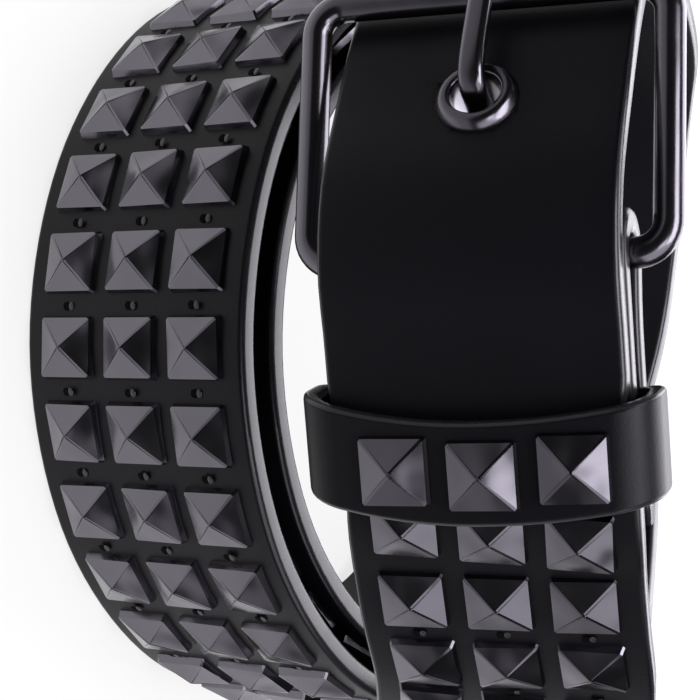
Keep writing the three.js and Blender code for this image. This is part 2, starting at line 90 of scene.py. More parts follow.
# Buckle, keeper and folded tab, as in the part's source
BAR_RADIUS = 2.0
FRAME_WIDTH = 50.5
FRAME_REACH = 34.5
FRAME_TILT = math.radians(10)
FRAME_CORNER = 4.0
FIT_GAP = 0.35
BEHIND_BAR_GAP = 0.55
PRONG_THICKNESS = 2.6
PRONG_WIDTH = 3.9
PRONG_OVERHANG = 2.2
PRONG_LEAN = 1.4
PRONG_ROUND = 1.15
PRONG_TAPER = 0.2
PRONG_POINT = 1.6
EYELET_ABOVE = 3.2
EYELET_ALONG = 0.54
EYELET_LIP = 0.9
EYELET_SEAT = 0.75
EYELET_BORE = 3.3
EYELET_BARREL = 4.0
EYELET_RIM = 4.6
EYELET_FLANGE = 5.4
EYELET_SHEET = 0.5
EYELET_ROLL = 0.45
SHOULDER_BACK = 0.54
SHOULDER_DROP = 0.76
HEEL_LIFT = 0.25
FLAT_TILT = math.radians(10)
HEEL_TO_KEEPER = 17.5
KEEPER_LENGTH = 13.0
KEEPER_WALL = 2.4
KEEPER_SIDE_GAP = 1.3
KEEPER_CORNER = 4.2
KEEPER_FRONT_CORNER = 5.5
KEEPER_ROUND = 0.8
KEEPER_BOW = 1.3
KEEPER_DROP = 0.7
KEEPER_SAG_LEFT = 3.4
KEEPER_SAG_RIGHT = 2.3
KEEPER_STUD_SHIFT = 1.6
TAB_BEYOND_KEEPER = 4.0
TIP_INSIDE_KEEPER = 3.0

# Turn round the coil in degrees, layers outside the coil, share of the rise, share of the tilt
TOP_TO_COIL = (
    (30, -0.1, 0.937, 1.3), (40, -0.08, 0.903, 1.35), (52, 0.015, 0.852, 1.4), (66, 0.215, 0.741, 1.4),
    (80, 0.425, 0.617, 1.2), (96, 0.56, 0.48, 1), (112, 0.6, 0.355, 0.6), (130, 0.57, 0.25, 0.2),
    (152, 0.51, 0.165, 0), (175, 0.47, 0.095, 0), (205, 0.43, 0.032, 0), (235, 0.35, 0.008, 0),
    (265, 0.27, 0.001, 0),
)
COIL_TURNS = range(300, 781, 30)
COIL_TO_TOP = (
    (810, -1.25, 0.0078, 0), (840, -1.33, 0.054, 0), (870, -1.42, 0.134, 0), (900, -1.5, 0.23, 0),
    (922, -1.6, 0.3, 0.3), (945, -1.7, 0.4, 0.7), (968, -1.75, 0.54, 1), (984, -1.62, 0.645, 1.2),
    (996, -1.2, 0.71, 1.2), (1005, -0.61, 0.755, 1.2), (1015, 0.02, 0.8, 1.1),
    (1026.2, 0.6, 0.845, 1),
)

TOP_ACROSS = Vector((-TOP_DRIFT, math.sin(TOP_TILT), math.cos(TOP_TILT))).normalized()
TOP_ALONG = (Vector((1, 0, 0)) - TOP_ACROSS * TOP_ACROSS.x).normalized()
TOP_INWARD = TOP_ACROSS.cross(TOP_ALONG)
TOP_ORIGIN = Vector((0, 0, HEEL_HEIGHT - HEEL.y * TOP_INWARD.z - HEEL.x * TOP_ALONG.z))

FOLD_RADIUS = BAR_RADIUS + FIT_GAP + THICKNESS / 2
FREE_STEP = FOLD_RADIUS + THICKNESS + FIT_GAP
TAB_STEP = THICKNESS + KEEPER_WALL + 2 * FIT_GAP
OUTWARD_ANGLE = FLAT_TILT - math.pi / 2
KEEPER_MIDDLE = HEEL_TO_KEEPER + KEEPER_LENGTH / 2
TAB_END = HEEL_TO_KEEPER + KEEPER_LENGTH + TAB_BEYOND_KEEPER


def turned(angle, length):
    return Vector((math.cos(angle) * length, math.sin(angle) * length))


def top_point(flat, across=0.0):
    """A point of the buckled strand's tilted plane, across being along the strap's width."""
    return TOP_ORIGIN + TOP_ALONG * flat.x + TOP_INWARD * flat.y + TOP_ACROSS * across


def flat_at(along, outward):
    """Along the flat stretch between the heel bar and the keeper, and out of its face."""
    return HEEL + turned(FLAT_TILT, along) + turned(OUTWARD_ANGLE, outward)


FRAME_ALONG = math.pi - FRAME_TILT
FRAME_OUTWARD = -math.pi / 2 - FRAME_TILT
FRONT_BAR = HEEL + turned(FRAME_ALONG, FRAME_REACH)
EYELET_POINT = (
    HEEL + turned(FRAME_ALONG, FRAME_REACH * EYELET_ALONG) + turned(FRAME_OUTWARD, EYELET_ABOVE)
)
FREE_SHOULDER = flat_at(-SHOULDER_BACK * HEEL_TO_KEEPER, FREE_STEP - SHOULDER_DROP * FOLD_RADIUS)


def strap_route():
    """Points of the strap's middle line, each with its direction across the strap."""
    def on_top(flat):
        return top_point(flat), TOP_ACROSS

    def on_turn(turn, layer, rise, tilt):
        angle = math.radians(turn)
        radius = COIL_RADIUS + layer * LAYER_SPACING - THICKNESS / 2
        height = WIDTH / 2 + rise * TOP_RISE
        across = Vector((0, math.sin(TOP_TILT * tilt), math.cos(TOP_TILT * tilt)))
        return Vector((radius * math.sin(angle), -radius * math.cos(angle), height)), across

    tab_out = FOLD_RADIUS - TAB_STEP
    points = [on_top(flat_at(along, tab_out)) for along in (TAB_END, KEEPER_MIDDLE, 2 * FOLD_RADIUS)]
    for step in range(11):
        angle = OUTWARD_ANGLE + math.pi * (1 + step / 10)
        points.append(on_top(HEEL + turned(angle, FOLD_RADIUS)))
    main = (HEEL_TO_KEEPER * 0.3, HEEL_TO_KEEPER, KEEPER_MIDDLE, HEEL_TO_KEEPER + KEEPER_LENGTH + 1)
    points += [on_top(flat_at(along, FOLD_RADIUS)) for along in main]

    points += [on_turn(*row) for row in TOP_TO_COIL]
    points += [on_turn(turn, (360 - turn) / 360, 0, 0) for turn in COIL_TURNS]
    points += [on_turn(*row) for row in COIL_TO_TOP]

    behind_bar = BAR_RADIUS + BEHIND_BAR_GAP + THICKNESS / 2
    points.append(on_top(FRONT_BAR + turned(math.pi / 4, behind_bar)))
    points.append(on_top(EYELET_POINT))
    points.append(on_top(FREE_SHOULDER))
    points.append(on_top(flat_at(0, FREE_STEP + HEEL_LIFT)))
    free = (HEEL_TO_KEEPER * 0.5, HEEL_TO_KEEPER, HEEL_TO_KEEPER + KEEPER_LENGTH - TIP_INSIDE_KEEPER)
    points += [on_top(flat_at(along, FREE_STEP)) for along in free]
    return points


class Curve:
    """A centripetal curve through points, the same as the part's source uses."""

    def __init__(self, points):
        first = points[0] * 2 - points[1]
        last = points[-1] * 2 - points[-2]
        self.points = [first, *points, last]
        self.spans = len(points) - 1

    def point(self, place):
        index = min(int(place), self.spans - 1)
        share = place - index
        p0, p1, p2, p3 = self.points[index:index + 4]
        d1 = (p2 - p1).length ** 0.5 or 1.0
        d0 = (p1 - p0).length ** 0.5 or d1
        d2 = (p3 - p2).length ** 0.5 or d1
        t1 = ((p1 - p0) / d0 - (p2 - p0) / (d0 + d1) + (p2 - p1) / d1) * d1
        t2 = ((p2 - p1) / d1 - (p3 - p1) / (d1 + d2) + (p3 - p2) / d2) * d1
        cubic = 2 * p1 - 2 * p2 + t1 + t2
        square = 3 * p2 - 3 * p1 - 2 * t1 - t2
        return p1 + share * (t1 + share * (square + share * cubic))

    def tangent(self, place):
        low = max(place - 1e-3, 0)
        high = min(place + 1e-3, self.spans)
        return (self.point(high) - self.point(low)).normalized()


class Route:
    """Frames along a curve by distance: middle line, along, across the strap, out of its face."""

    SAMPLES = 4000

    def __init__(self, points):
        self.curve = Curve([position for position, _ in points])
        self.across = [across for _, across in points]
        self.lengths = [0.0]
        last = self.curve.point(0)
        for sample in range(1, self.SAMPLES + 1):
            here = self.curve.point(sample * self.curve.spans / self.SAMPLES)
            self.lengths.append(self.lengths[-1] + (here - last).length)
            last = here
        self.length = self.lengths[-1]
        self.frames = {}

    def place_of(self, distance):
        low, high = 0, self.SAMPLES
        while high - low > 1:
            middle = (low + high) // 2
            if self.lengths[middle] <= distance:
                low = middle
            else:
                high = middle
        share = (distance - self.lengths[low]) / (self.lengths[high] - self.lengths[low])
        place = (low + share) * self.curve.spans / self.SAMPLES
        return min(max(place, 0.0), float(self.curve.spans))

    def frame(self, distance):
        key = round(distance, 4)
        if key not in self.frames:
            place = self.place_of(key)
            index = min(int(place), len(self.across) - 2)
            share = place - index
            blend = share * share * (3 - 2 * share)
            along = self.curve.tangent(place)
            across = self.across[index].lerp(self.across[index + 1], blend)
            across = (across - along * across.dot(along)).normalized()
            self.frames[key] = (self.curve.point(place), along, across, along.cross(across))
        return self.frames[key]

    def nearest(self, target, start, end):
        steps = int((end - start) / 0.1)
        distances = [start + 0.1 * step for step in range(steps + 1)]
        return min(distances, key=lambda d: (self.frame(d)[0] - target).length)

    def matrix(self, distance, out=0.0, across=0.0):
        """Takes x across, y out of the face and z along to the place at a distance."""
        middle, along, w, n = self.frame(distance)
        matrix = Matrix((w, n, along)).transposed().to_4x4()
        matrix.translation = middle + n * out + w * across
        return matrix

    def bend(self, bm):
        """Bends a straight mesh, x across, y out and z along, on to the route."""
        for vert in bm.verts:
            middle, _, across, out = self.frame(vert.co.z)
            vert.co = middle + across * vert.co.x + out * vert.co.y


route = Route(strap_route())
FOLD_END = route.nearest(top_point(flat_at(0, FOLD_RADIUS)), TAB_END, 3 * TAB_END)
KEEPER_END = FOLD_END + HEEL_TO_KEEPER + KEEPER_LENGTH
TIP_END = route.length
EYELET_AT = route.nearest(top_point(EYELET_POINT), TIP_END - 2 * FRAME_REACH, TIP_END - TIP_LENGTH)
HOLES_AT = [EYELET_AT - i * HOLE_PITCH for i in range(HOLE_COUNT)]
ROWS_AT = [KEEPER_END + FIRST_ROW_GAP]
while ROWS_AT[-1] + ROW_PITCH <= HOLES_AT[-1] - BARE_BEYOND_HOLES:
    extra = BACK_ROWS_EXTRA_PITCH if BACK_ROWS[0] < len(ROWS_AT) <= BACK_ROWS[1] else 0.0
    ROWS_AT.append(ROWS_AT[-1] + ROW_PITCH + extra)


class BeltSizes(bpy.types.PropertyGroup):
    """Sizes of the details that the solids leave out."""

    edge_round: FloatProperty(
        name="Edge rounding", description="Radius of the strap's painted edges",
        default=0.0009, min=0.0002, max=0.0012, unit="LENGTH", subtype="DISTANCE",
    )
    stud_base: FloatProperty(
        name="Stud base", description="Side of a stud's square base",
        default=0.0088, min=0.006, max=0.0105, unit="LENGTH", subtype="DISTANCE",
    )
    stud_rim: FloatProperty(
        name="Stud rim height", description="Height of the steep band below the facets",
        default=0.0008, min=0.0, max=0.0015, unit="LENGTH", subtype="DISTANCE",
    )
    stud_inset: FloatProperty(
        name="Stud rim inset", description="How far the steep band leans in on each side",
        default=0.00022, min=0.0, max=0.001, unit="LENGTH", subtype="DISTANCE",
    )
    stud_height: FloatProperty(
        name="Stud height", description="From the leather to the stud's point",
        default=0.0024, min=0.001, max=0.003, unit="LENGTH", subtype="DISTANCE",
    )
    stud_sway: FloatProperty(
        name="Stud sway", description="Largest angle a stud stands off square",
        default=math.radians(2.2), min=0.0, max=math.radians(4), subtype="ANGLE",
    )
    seed: IntProperty(name="Seed", description="Seed of the studs' sway", default=7)


class BeltColours(bpy.types.PropertyGroup):
    """Colours of the belt and its stage, as sRGB."""

    leather: FloatVectorProperty(
        name="Leather", description="Faux leather's black", subtype="COLOR_GAMMA",
        size=3, min=0, max=1, default=(0.045, 0.04, 0.058),
    )
    edge_paint: FloatVectorProperty(
        name="Edge paint", description="Paint on the strap's edges", subtype="COLOR_GAMMA",
        size=3, min=0, max=1, default=(0.16, 0.155, 0.17),
    )
    metal: FloatVectorProperty(
        name="Metal", description="Black nickel on studs and buckle", subtype="COLOR_GAMMA",
        size=3, min=0, max=1, default=(0.42, 0.41, 0.435),
    )
    floor: FloatVectorProperty(
        name="Floor", description="The pale floor", subtype="COLOR_GAMMA",
        size=3, min=0, max=1, default=(0.5, 0.5, 0.5),
    )


def linear(colour):
    """sRGB values, or a hex string such as #1a181c, to linear with full alpha."""
    if isinstance(colour, str):
        colour = [int(colour[i:i + 2], 16) / 255 for i in (1, 3, 5)]
    steps = [c / 12.92 if c <= 0.04045 else ((c + 0.055) / 1.055) ** 2.4 for c in colour]
    return (*steps, 1.0)


def add_node(tree, kind, settings=None, links=None):
    """Adds a node; settings name its sockets or attributes, links its sockets' sources."""
    node = tree.nodes.new(kind)
    for name, value in (settings or {}).items():
        if name in node.inputs:
            node.inputs[name].default_value = value
        else:
            setattr(node, name, value)
    for name, source in (links or {}).items():
        tree.links.new(source, node.inputs[name])
    return node


def new_material(name):
    material = bpy.data.materials.get(name) or bpy.data.materials.new(name)
    material.use_nodes = True
    material.node_tree.nodes.clear()
    return material, material.node_tree


def finish_material(tree, shader):
    add_node(tree, "ShaderNodeOutputMaterial", links={"Surface": shader.outputs[0]})


def faux_leather(name, colour, grain_bump, roughness):
    """PU-coated split leather, calendered smooth: a faint pebble grain under a semi-gloss skin,
    a little cloudy where it has been handled."""
    material, tree = new_material(name)
    place = add_node(tree, "ShaderNodeTexCoord").outputs["Object"]
    # Pebbles 0.45 mm apart
    pebbles = add_node(tree, "ShaderNodeTexVoronoi", {"Scale": 2200.0, "Randomness": 0.9}, {"Vector": place})
    # Handling marks a few centimetres long
    clouds = add_node(tree, "ShaderNodeTexNoise", {"Scale": 55.0, "Detail": 3.0}, {"Vector": place})
    tone = add_node(
        tree, "ShaderNodeMix",
        {"data_type": "RGBA"}, {"Factor": clouds.outputs["Fac"]},
    )
    dark = linear(colour)
    tone.inputs[6].default_value = dark
    tone.inputs[7].default_value = (dark[0] * 1.35, dark[1] * 1.32, dark[2] * 1.4, 1)
    gloss = add_node(
        tree, "ShaderNodeMapRange",
        {"To Min": roughness - 0.05, "To Max": roughness + 0.07}, {"Value": clouds.outputs["Fac"]},
    )
    bump = add_node(
        tree, "ShaderNodeBump", {"Strength": grain_bump, "Distance": 0.00005},
        {"Height": pebbles.outputs["Distance"]},
    )
    shader = add_node(
        tree, "ShaderNodeBsdfPrincipled", {"Specular IOR Level": 0.2, "IOR": 1.5},
        {"Base Color": tone.outputs[2], "Roughness": gloss.outputs[0], "Normal": bump.outputs[0]},
    )
    finish_material(tree, shader)
    return material


def edge_paint(name, colour):
    """Brushed-on edge paint: thicker and glossier than the skin, with slight waves along it."""
    material, tree = new_material(name)
    place = add_node(tree, "ShaderNodeTexCoord").outputs["Object"]
    # Brush waves about 3 mm long
    waves = add_node(tree, "ShaderNodeTexNoise", {"Scale": 330.0, "Detail": 2.0}, {"Vector": place})
    gloss = add_node(
        tree, "ShaderNodeMapRange", {"To Min": 0.22, "To Max": 0.34}, {"Value": waves.outputs["Fac"]},
    )
    bump = add_node(
        tree, "ShaderNodeBump", {"Strength": 0.25, "Distance": 0.00008},
        {"Height": waves.outputs["Fac"]},
    )
    shader = add_node(
        tree, "ShaderNodeBsdfPrincipled", {"Base Color": linear(colour), "IOR": 1.5},
        {"Roughness": gloss.outputs[0], "Normal": bump.outputs[0]},
    )
    finish_material(tree, shader)
    return material


def black_nickel(name, colour, roughness, dents):
    """Pressed or cast metal under black nickel: mirror-like, a little dented and finger-marked."""
    material, tree = new_material(name)
    place = add_node(tree, "ShaderNodeTexCoord").outputs["Object"]
    # Finger marks about 8 mm across, and dents 5 mm across from the press
    marks = add_node(tree, "ShaderNodeTexNoise", {"Scale": 125.0, "Detail": 4.0}, {"Vector": place})
    pressed = add_node(tree, "ShaderNodeTexNoise", {"Scale": 200.0, "Detail": 0.0}, {"Vector": place})
    gloss = add_node(
        tree, "ShaderNodeMapRange",
        {"To Min": roughness - 0.05, "To Max": roughness + 0.08}, {"Value": marks.outputs["Fac"]},
    )
    bump = add_node(
        tree, "ShaderNodeBump", {"Strength": dents, "Distance": 0.0006},
        {"Height": pressed.outputs["Fac"]},
    )
    shader = add_node(
        tree, "ShaderNodeBsdfPrincipled",
        {"Base Color": linear(colour), "Metallic": 1.0},
        {"Roughness": gloss.outputs[0], "Normal": bump.outputs[0]},
    )
    finish_material(tree, shader)
    return material


def painted_slit_shade(name):
    """Painted shade: a near-black patch put for the shade in the slit that a stud's leg goes through."""
    material, tree = new_material(name)
    shader = add_node(
        tree, "ShaderNodeBsdfPrincipled",
        {"Base Color": linear("#050505"), "Roughness": 0.9, "Specular IOR Level": 0.1},
    )
    finish_material(tree, shader)
    return material


def finish_piece(bm, name, materials, replaced, smooth=True, flat_sides=False):
    """Moves a mesh to the part's frame and makes it a piece of the belt."""
    bmesh.ops.recalc_face_normals(bm, faces=bm.faces)
    to_part = Matrix.Scale(MM, 4) @ Matrix.Translation(COIL_AXIS)
    bmesh.ops.transform(bm, matrix=to_part, verts=bm.verts)
    mesh = bpy.data.meshes.new(name)
    for face in bm.faces:
        face.smooth = smooth
    bm.to_mesh(mesh)
    bm.free()
    for material in materials:
        mesh.materials.append(material)
    piece = bpy.data.objects.new(name, mesh)
    bpy.context.scene.collection.objects.link(piece)
    if flat_sides:
        piece.modifiers.new("Flat faces stay flat", "WEIGHTED_NORMAL")
    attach(piece, "root")
    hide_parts(*replaced)
    return piece


def section(bm, width, thickness, radius, segments, cuts):
    """Faces across a strap, x by y, with rounded corners and cuts along the long sides."""
    bmesh.ops.create_grid(bm, x_segments=1, y_segments=1, size=0.5)
    bmesh.ops.scale(bm, vec=(width, thickness, 1), verts=bm.verts)
    bmesh.ops.bevel(
        bm, geom=bm.verts[:], offset=radius, segments=segments, profile=0.5,
        affect="VERTICES", material=-1,
    )
    long_sides = [e for e in bm.edges if e.calc_length() > width / 2]
    bmesh.ops.subdivide_edges(bm, edges=long_sides, cuts=cuts)
    return bm.faces[:]


def lengthen(bm, faces, stations):
    """Extrudes a section along z through the stations."""
    bmesh.ops.translate(bm, vec=(0, 0, stations[0]), verts=bm.verts)
    for here, there in zip(stations, stations[1:]):
        grown = bmesh.ops.extrude_face_region(bm, geom=faces)["geom"]
        if here != stations[0]:
            bmesh.ops.delete(bm, geom=faces, context="FACES")
        faces = [item for item in grown if isinstance(item, bmesh.types.BMFace)]
        verts = [item for item in grown if isinstance(item, bmesh.types.BMVert)]
        bmesh.ops.translate(bm, vec=(0, 0, there - here), verts=verts)


def stations_between(start, end, step):
    count = max(1, round((end - start) / step))
    return [start + (end - start) * i / count for i in range(count)]


def cut_away(bm, cutters):
    """Takes closed cutters out of a mesh and returns the result as a new one."""
    objects = []
    for source in (bm, cutters):
        mesh = bpy.data.meshes.new("cut")
        source.to_mesh(mesh)
        source.free()
        objects.append(bpy.data.objects.new("cut", mesh))
        bpy.context.scene.collection.objects.link(objects[-1])
    body, tool = objects
    boolean = body.modifiers.new("Holes", "BOOLEAN")
    boolean.operation = "DIFFERENCE"
    boolean.solver = "EXACT"
    boolean.object = tool
    graph = bpy.context.evaluated_depsgraph_get()
    result = bmesh.new()
    result.from_mesh(body.evaluated_get(graph).to_mesh())
    for item in objects:
        bpy.data.objects.remove(item)
    return result


def straight_strap(edge):
    """The strap as cut, with its eyelet holes and the prong's slot."""
    bm = bmesh.new()
    faces = section(bm, WIDTH, THICKNESS, edge, 3, 11)
    fold_start = FOLD_END - 1.25 * math.pi * FOLD_RADIUS
    stations = stations_between(0, fold_start, STRAP_STEP)
    stations += stations_between(fold_start, FOLD_END + 1, FINE_STEP)
    stations += stations_between(FOLD_END + 1, TIP_END - TIP_LENGTH, STRAP_STEP)
    stations += stations_between(TIP_END - TIP_LENGTH, TIP_END, FINE_STEP)
    stations.append(TIP_END - 0.01)
    lengthen(bm, faces, stations)

    cutters = bmesh.new()
    for at in HOLES_AT:
        bmesh.ops.create_cone(
            cutters, cap_ends=True, segments=32, radius1=EYELET_HOLE, radius2=EYELET_HOLE,
            depth=2 * THICKNESS,
            matrix=Matrix.Translation((0, 0, at)) @ Matrix.Rotation(math.pi / 2, 4, "X"),
        )
    slot_middle = FOLD_END - math.pi * FOLD_RADIUS / 2
    slot = bmesh.ops.create_cube(cutters, size=1)["verts"]
    bmesh.ops.scale(cutters, vec=(SLOT_WIDTH, 2 * THICKNESS, SLOT_LENGTH), verts=slot)
    bmesh.ops.translate(cutters, vec=(0, 0, slot_middle), verts=slot)
    slot_edges = {e for v in slot for e in v.link_edges if abs(e.verts[0].co.y - e.verts[1].co.y) > 1}
    bmesh.ops.bevel(
        cutters, geom=list(slot_edges), offset=SLOT_CORNER, segments=5, profile=0.5,
        affect="EDGES", material=-1,
    )
    return cut_away(bm, cutters)


def narrow_tip(bm):
    """Rounds the free end to a point."""
    for vert in bm.verts:
        past = max(0.0, vert.co.z - (TIP_END - TIP_LENGTH)) / TIP_LENGTH
        vert.co.x *= math.sqrt(1 - TIP_ROUND * past * past)


def stud_shape(bm, base, rim, inset, height, painted_slit_marks=()):
    """One pressed stud, x by z with y up: a steep rim, four facets and, beyond it, any marks of the leg's
    slit: a near-black patch of painted shade and a lighter raised bump of painted highlight.
    """
    sink = 0.5
    lean = inset * (rim + sink) / rim
    wall = bmesh.ops.create_cone(
        bm, cap_ends=True, segments=4, radius1=(base / 2 + lean - inset) * math.sqrt(2),
        radius2=(base / 2 - inset) * math.sqrt(2), depth=rim + sink,
        matrix=Matrix.Translation((0, 0, (rim - sink) / 2)) @ Matrix.Rotation(math.pi / 4, 4, "Z"),
    )["verts"]
    top = max(bm.faces, key=lambda f: f.calc_center_median().z)
    point = bmesh.ops.extrude_face_region(bm, geom=[top])["geom"]
    tip = [item for item in point if isinstance(item, bmesh.types.BMVert)]
    bmesh.ops.scale(bm, vec=(0.04, 0.04, 1), verts=tip)
    bmesh.ops.translate(bm, vec=(0, 0, height - rim), verts=tip)
    bottom = min(bm.faces, key=lambda f: f.calc_center_median().z)
    sharp = [e for e in bm.edges if bottom not in e.link_faces and e.calc_length() > 0.8]
    bmesh.ops.bevel(
        bm, geom=sharp, offset=0.26, segments=1, profile=0.5, affect="EDGES", material=-1,
    )
    bmesh.ops.delete(bm, geom=[min(bm.faces, key=lambda f: f.calc_center_median().z)], context="FACES_ONLY")
    # Painted slit marks: a near-black patch of painted shade and a lighter bump of painted highlight
    for across, width, length, above, slot in painted_slit_marks:
        verts = bmesh.ops.create_uvsphere(bm, u_segments=10, v_segments=6, radius=0.5)["verts"]
        bmesh.ops.scale(bm, vec=(width, length, 2 * above), verts=verts)
        bmesh.ops.translate(bm, vec=(across, ROW_PITCH / 2, 0), verts=verts)
        for face in {f for v in verts for f in v.link_faces}:
            face.material_index = slot
    upright = Matrix.Rotation(-math.pi / 2, 4, "X")
    bmesh.ops.transform(bm, matrix=upright, verts=bm.verts)


# Place across, width, length, height and material of the marks between rows: the slit's near-black patch of
# painted shade, and the raised bump beside it, coloured lighter as a painted highlight
SLIT_SHADE_AND_HIGHLIGHT = ((-0.4, 1.2, 1.3, 0.07, 1), (0.45, 0.9, 1.3, 0.12, 2))


def copy_shape(bm, shape, matrix):
    """Adds a copy of one mesh to another."""
    mesh = bpy.data.meshes.new("copy")
    shape.to_mesh(mesh)
    mesh.transform(matrix)
    bm.from_mesh(mesh)
    bpy.data.meshes.remove(mesh)


class BELT_OT_strap(bpy.types.Operator):
    """Cut, bend and finish the strap"""

    bl_idname = "belt.strap"
    bl_label = "Strap"

    def execute(self, context):
        edge = context.scene.belt_sizes.edge_round / MM
        bm = straight_strap(edge)
        side = WIDTH / 2 - 0.9 * edge
        for face in bm.faces:
            middle = face.calc_center_median()
            on_side = abs(middle.x) > side and abs(face.normal.x) > 0.3
            if on_side or abs(face.normal.z) > 0.7:
                face.material_index = 1
            elif face.normal.y < -0.5 and middle.y < 0:
                face.material_index = 2
        narrow_tip(bm)
        route.bend(bm)
        colours = context.scene.belt_colours
        materials = [
            faux_leather("PU-coated split leather", colours.leather, 0.25, 0.4),
            edge_paint("Painted strap edge", colours.edge_paint),
            faux_leather("Bonded backing", [c * 1.15 for c in colours.leather], 0.6, 0.6),
        ]
        finish_piece(bm, "strap", materials, ["studded_strap"], flat_sides=True)
        return {"FINISHED"}


class BELT_OT_studs(bpy.types.Operator):
    """Press the pyramid studs into the strap"""

    bl_idname = "belt.studs"
    bl_label = "Studs"

    def execute(self, context):
        sizes = context.scene.belt_sizes
        shape = bmesh.new()
        stud_shape(
            shape, sizes.stud_base / MM, sizes.stud_rim / MM, sizes.stud_inset / MM,
            sizes.stud_height / MM, SLIT_SHADE_AND_HIGHLIGHT,
        )
        sway = random.Random(sizes.seed)
        bm = bmesh.new()
        for at in ROWS_AT:
            for column in range(COLUMNS):
                across = (column - (COLUMNS - 1) / 2) * COLUMN_PITCH
                place = route.matrix(at, THICKNESS / 2, across)
                lean = Matrix.Rotation(sway.uniform(-1, 1) * sizes.stud_sway, 4, "X")
                roll = Matrix.Rotation(sway.uniform(-1, 1) * sizes.stud_sway, 4, "Z")
                copy_shape(bm, shape, place @ lean @ roll)
        shape.free()
        nickel = black_nickel("Nickelled pressed steel", context.scene.belt_colours.metal, 0.18, 0.7)
        # Painted shade in each leg's slit: a near-black patch
        slit_shade = painted_slit_shade("Painted shade in a leg's slit")
        # Painted highlight: the bump raised by each leg is real, but its lighter edge-paint colour stands in
        # for the light on it
        raised_highlight = edge_paint("Raised leather with painted highlight", context.scene.belt_colours.edge_paint)
        finish_piece(bm, "studs", [nickel, slit_shade, raised_highlight], ["studded_strap"], smooth=False)
        return {"FINISHED"}


def on_flat(along, out, across=0.0):
    """Matrix of the flat stretch: x across the strap, y out of its face and z along it."""
    origin = top_point(Vector((0, 0)))
    z = top_point(turned(FLAT_TILT, 1)) - origin
    y = top_point(turned(OUTWARD_ANGLE, 1)) - origin
    matrix = Matrix((TOP_ACROSS, y, z)).transposed().to_4x4()
    matrix.translation = top_point(flat_at(along, out), across)
    return matrix


def slack(across, in_front):
    """How the worn keeper sags: its front bows out and lies lower in the middle than at its ends."""
    share = across / (WIDTH / 2 + KEEPER_SIDE_GAP + KEEPER_WALL)
    ends = KEEPER_SAG_LEFT if across < 0 else KEEPER_SAG_RIGHT
    out = KEEPER_BOW * max(0.0, 1 - share * share) if in_front else 0.0
    return Vector((0, out, KEEPER_DROP - ends * share * share))


class BELT_OT_keeper(bpy.types.Operator):
    """Make the stiff keeper loop with its three studs"""

    bl_idname = "belt.keeper"
    bl_label = "Keeper"

    def execute(self, context):
        sizes = context.scene.belt_sizes
        bm = bmesh.new()
        width = WIDTH + 2 * (KEEPER_SIDE_GAP + KEEPER_WALL)
        back = FOLD_RADIUS - THICKNESS / 2 - FIT_GAP - KEEPER_WALL
        front = FREE_STEP + THICKNESS / 2 + FIT_GAP + KEEPER_WALL
        bmesh.ops.create_grid(bm, x_segments=1, y_segments=1, size=0.5)
        bmesh.ops.scale(bm, vec=(width, front - back, 1), verts=bm.verts)
        bmesh.ops.translate(bm, vec=(0, (front + back) / 2, 0), verts=bm.verts)
        middle = (front + back) / 2
        for side, corner in ((1, KEEPER_FRONT_CORNER), (-1, KEEPER_CORNER)):
            ends = [v for v in bm.verts if (v.co.y - middle) * side > (front - middle) * 0.99]
            bmesh.ops.bevel(
                bm, geom=ends, offset=corner, segments=8, profile=0.5, affect="VERTICES", material=-1,
            )
        hollow = bm.faces[:]
        ring = bmesh.ops.inset_region(
            bm, faces=hollow, thickness=KEEPER_WALL, use_even_offset=True, use_boundary=True,
        )["faces"]
        bmesh.ops.delete(bm, geom=hollow, context="FACES_ONLY")
        grown = bmesh.ops.extrude_face_region(bm, geom=ring)["geom"]
        verts = [item for item in grown if isinstance(item, bmesh.types.BMVert)]
        bmesh.ops.translate(bm, vec=(0, 0, KEEPER_LENGTH), verts=verts)
        long_edges = [e for e in bm.edges if e.calc_length() > width / 2]
        bmesh.ops.subdivide_edges(bm, edges=long_edges, cuts=11)
        bmesh.ops.recalc_face_normals(bm, faces=bm.faces)
        rims = [
            e for e in bm.edges
            if len(e.link_faces) == 2 and abs(e.calc_face_angle()) > 1.2
        ]
        bmesh.ops.bevel(
            bm, geom=rims, offset=KEEPER_ROUND, segments=4, profile=0.5, affect="EDGES", material=-1,
        )
        for vert in bm.verts:
            vert.co += slack(vert.co.x, vert.co.y > middle)
        for face in bm.faces:
            if abs(face.normal.z) > 0.4:
                face.material_index = 1
        bmesh.ops.transform(bm, matrix=on_flat(HEEL_TO_KEEPER, 0), verts=bm.verts)
        colours = context.scene.belt_colours
        materials = [
            faux_leather("PU-coated keeper leather", colours.leather, 0.25, 0.4),
            edge_paint("Painted keeper edge", colours.edge_paint),
        ]
        finish_piece(bm, "keeper", materials, ["keeper_loop"], flat_sides=True)

        shape = bmesh.new()
        stud_shape(
            shape, sizes.stud_base / MM, sizes.stud_rim / MM, sizes.stud_inset / MM,
            sizes.stud_height / MM,
        )
        studs = bmesh.new()
        for column in range(COLUMNS):
            across = KEEPER_STUD_SHIFT + (column - (COLUMNS - 1) / 2) * COLUMN_PITCH
            loose = slack(across, True)
            place = on_flat(KEEPER_MIDDLE + loose.z, front + loose.y, across)
            bow = math.atan2(slack(across + 1, True).y - slack(across - 1, True).y, 2)
            copy_shape(studs, shape, place @ Matrix.Rotation(bow, 4, "Z"))
        shape.free()
        nickel = black_nickel("Nickelled pressed steel", colours.metal, 0.18, 0.7)
        finish_piece(studs, "keeper_studs", [nickel], ["keeper_loop"], smooth=False)
        return {"FINISHED"}


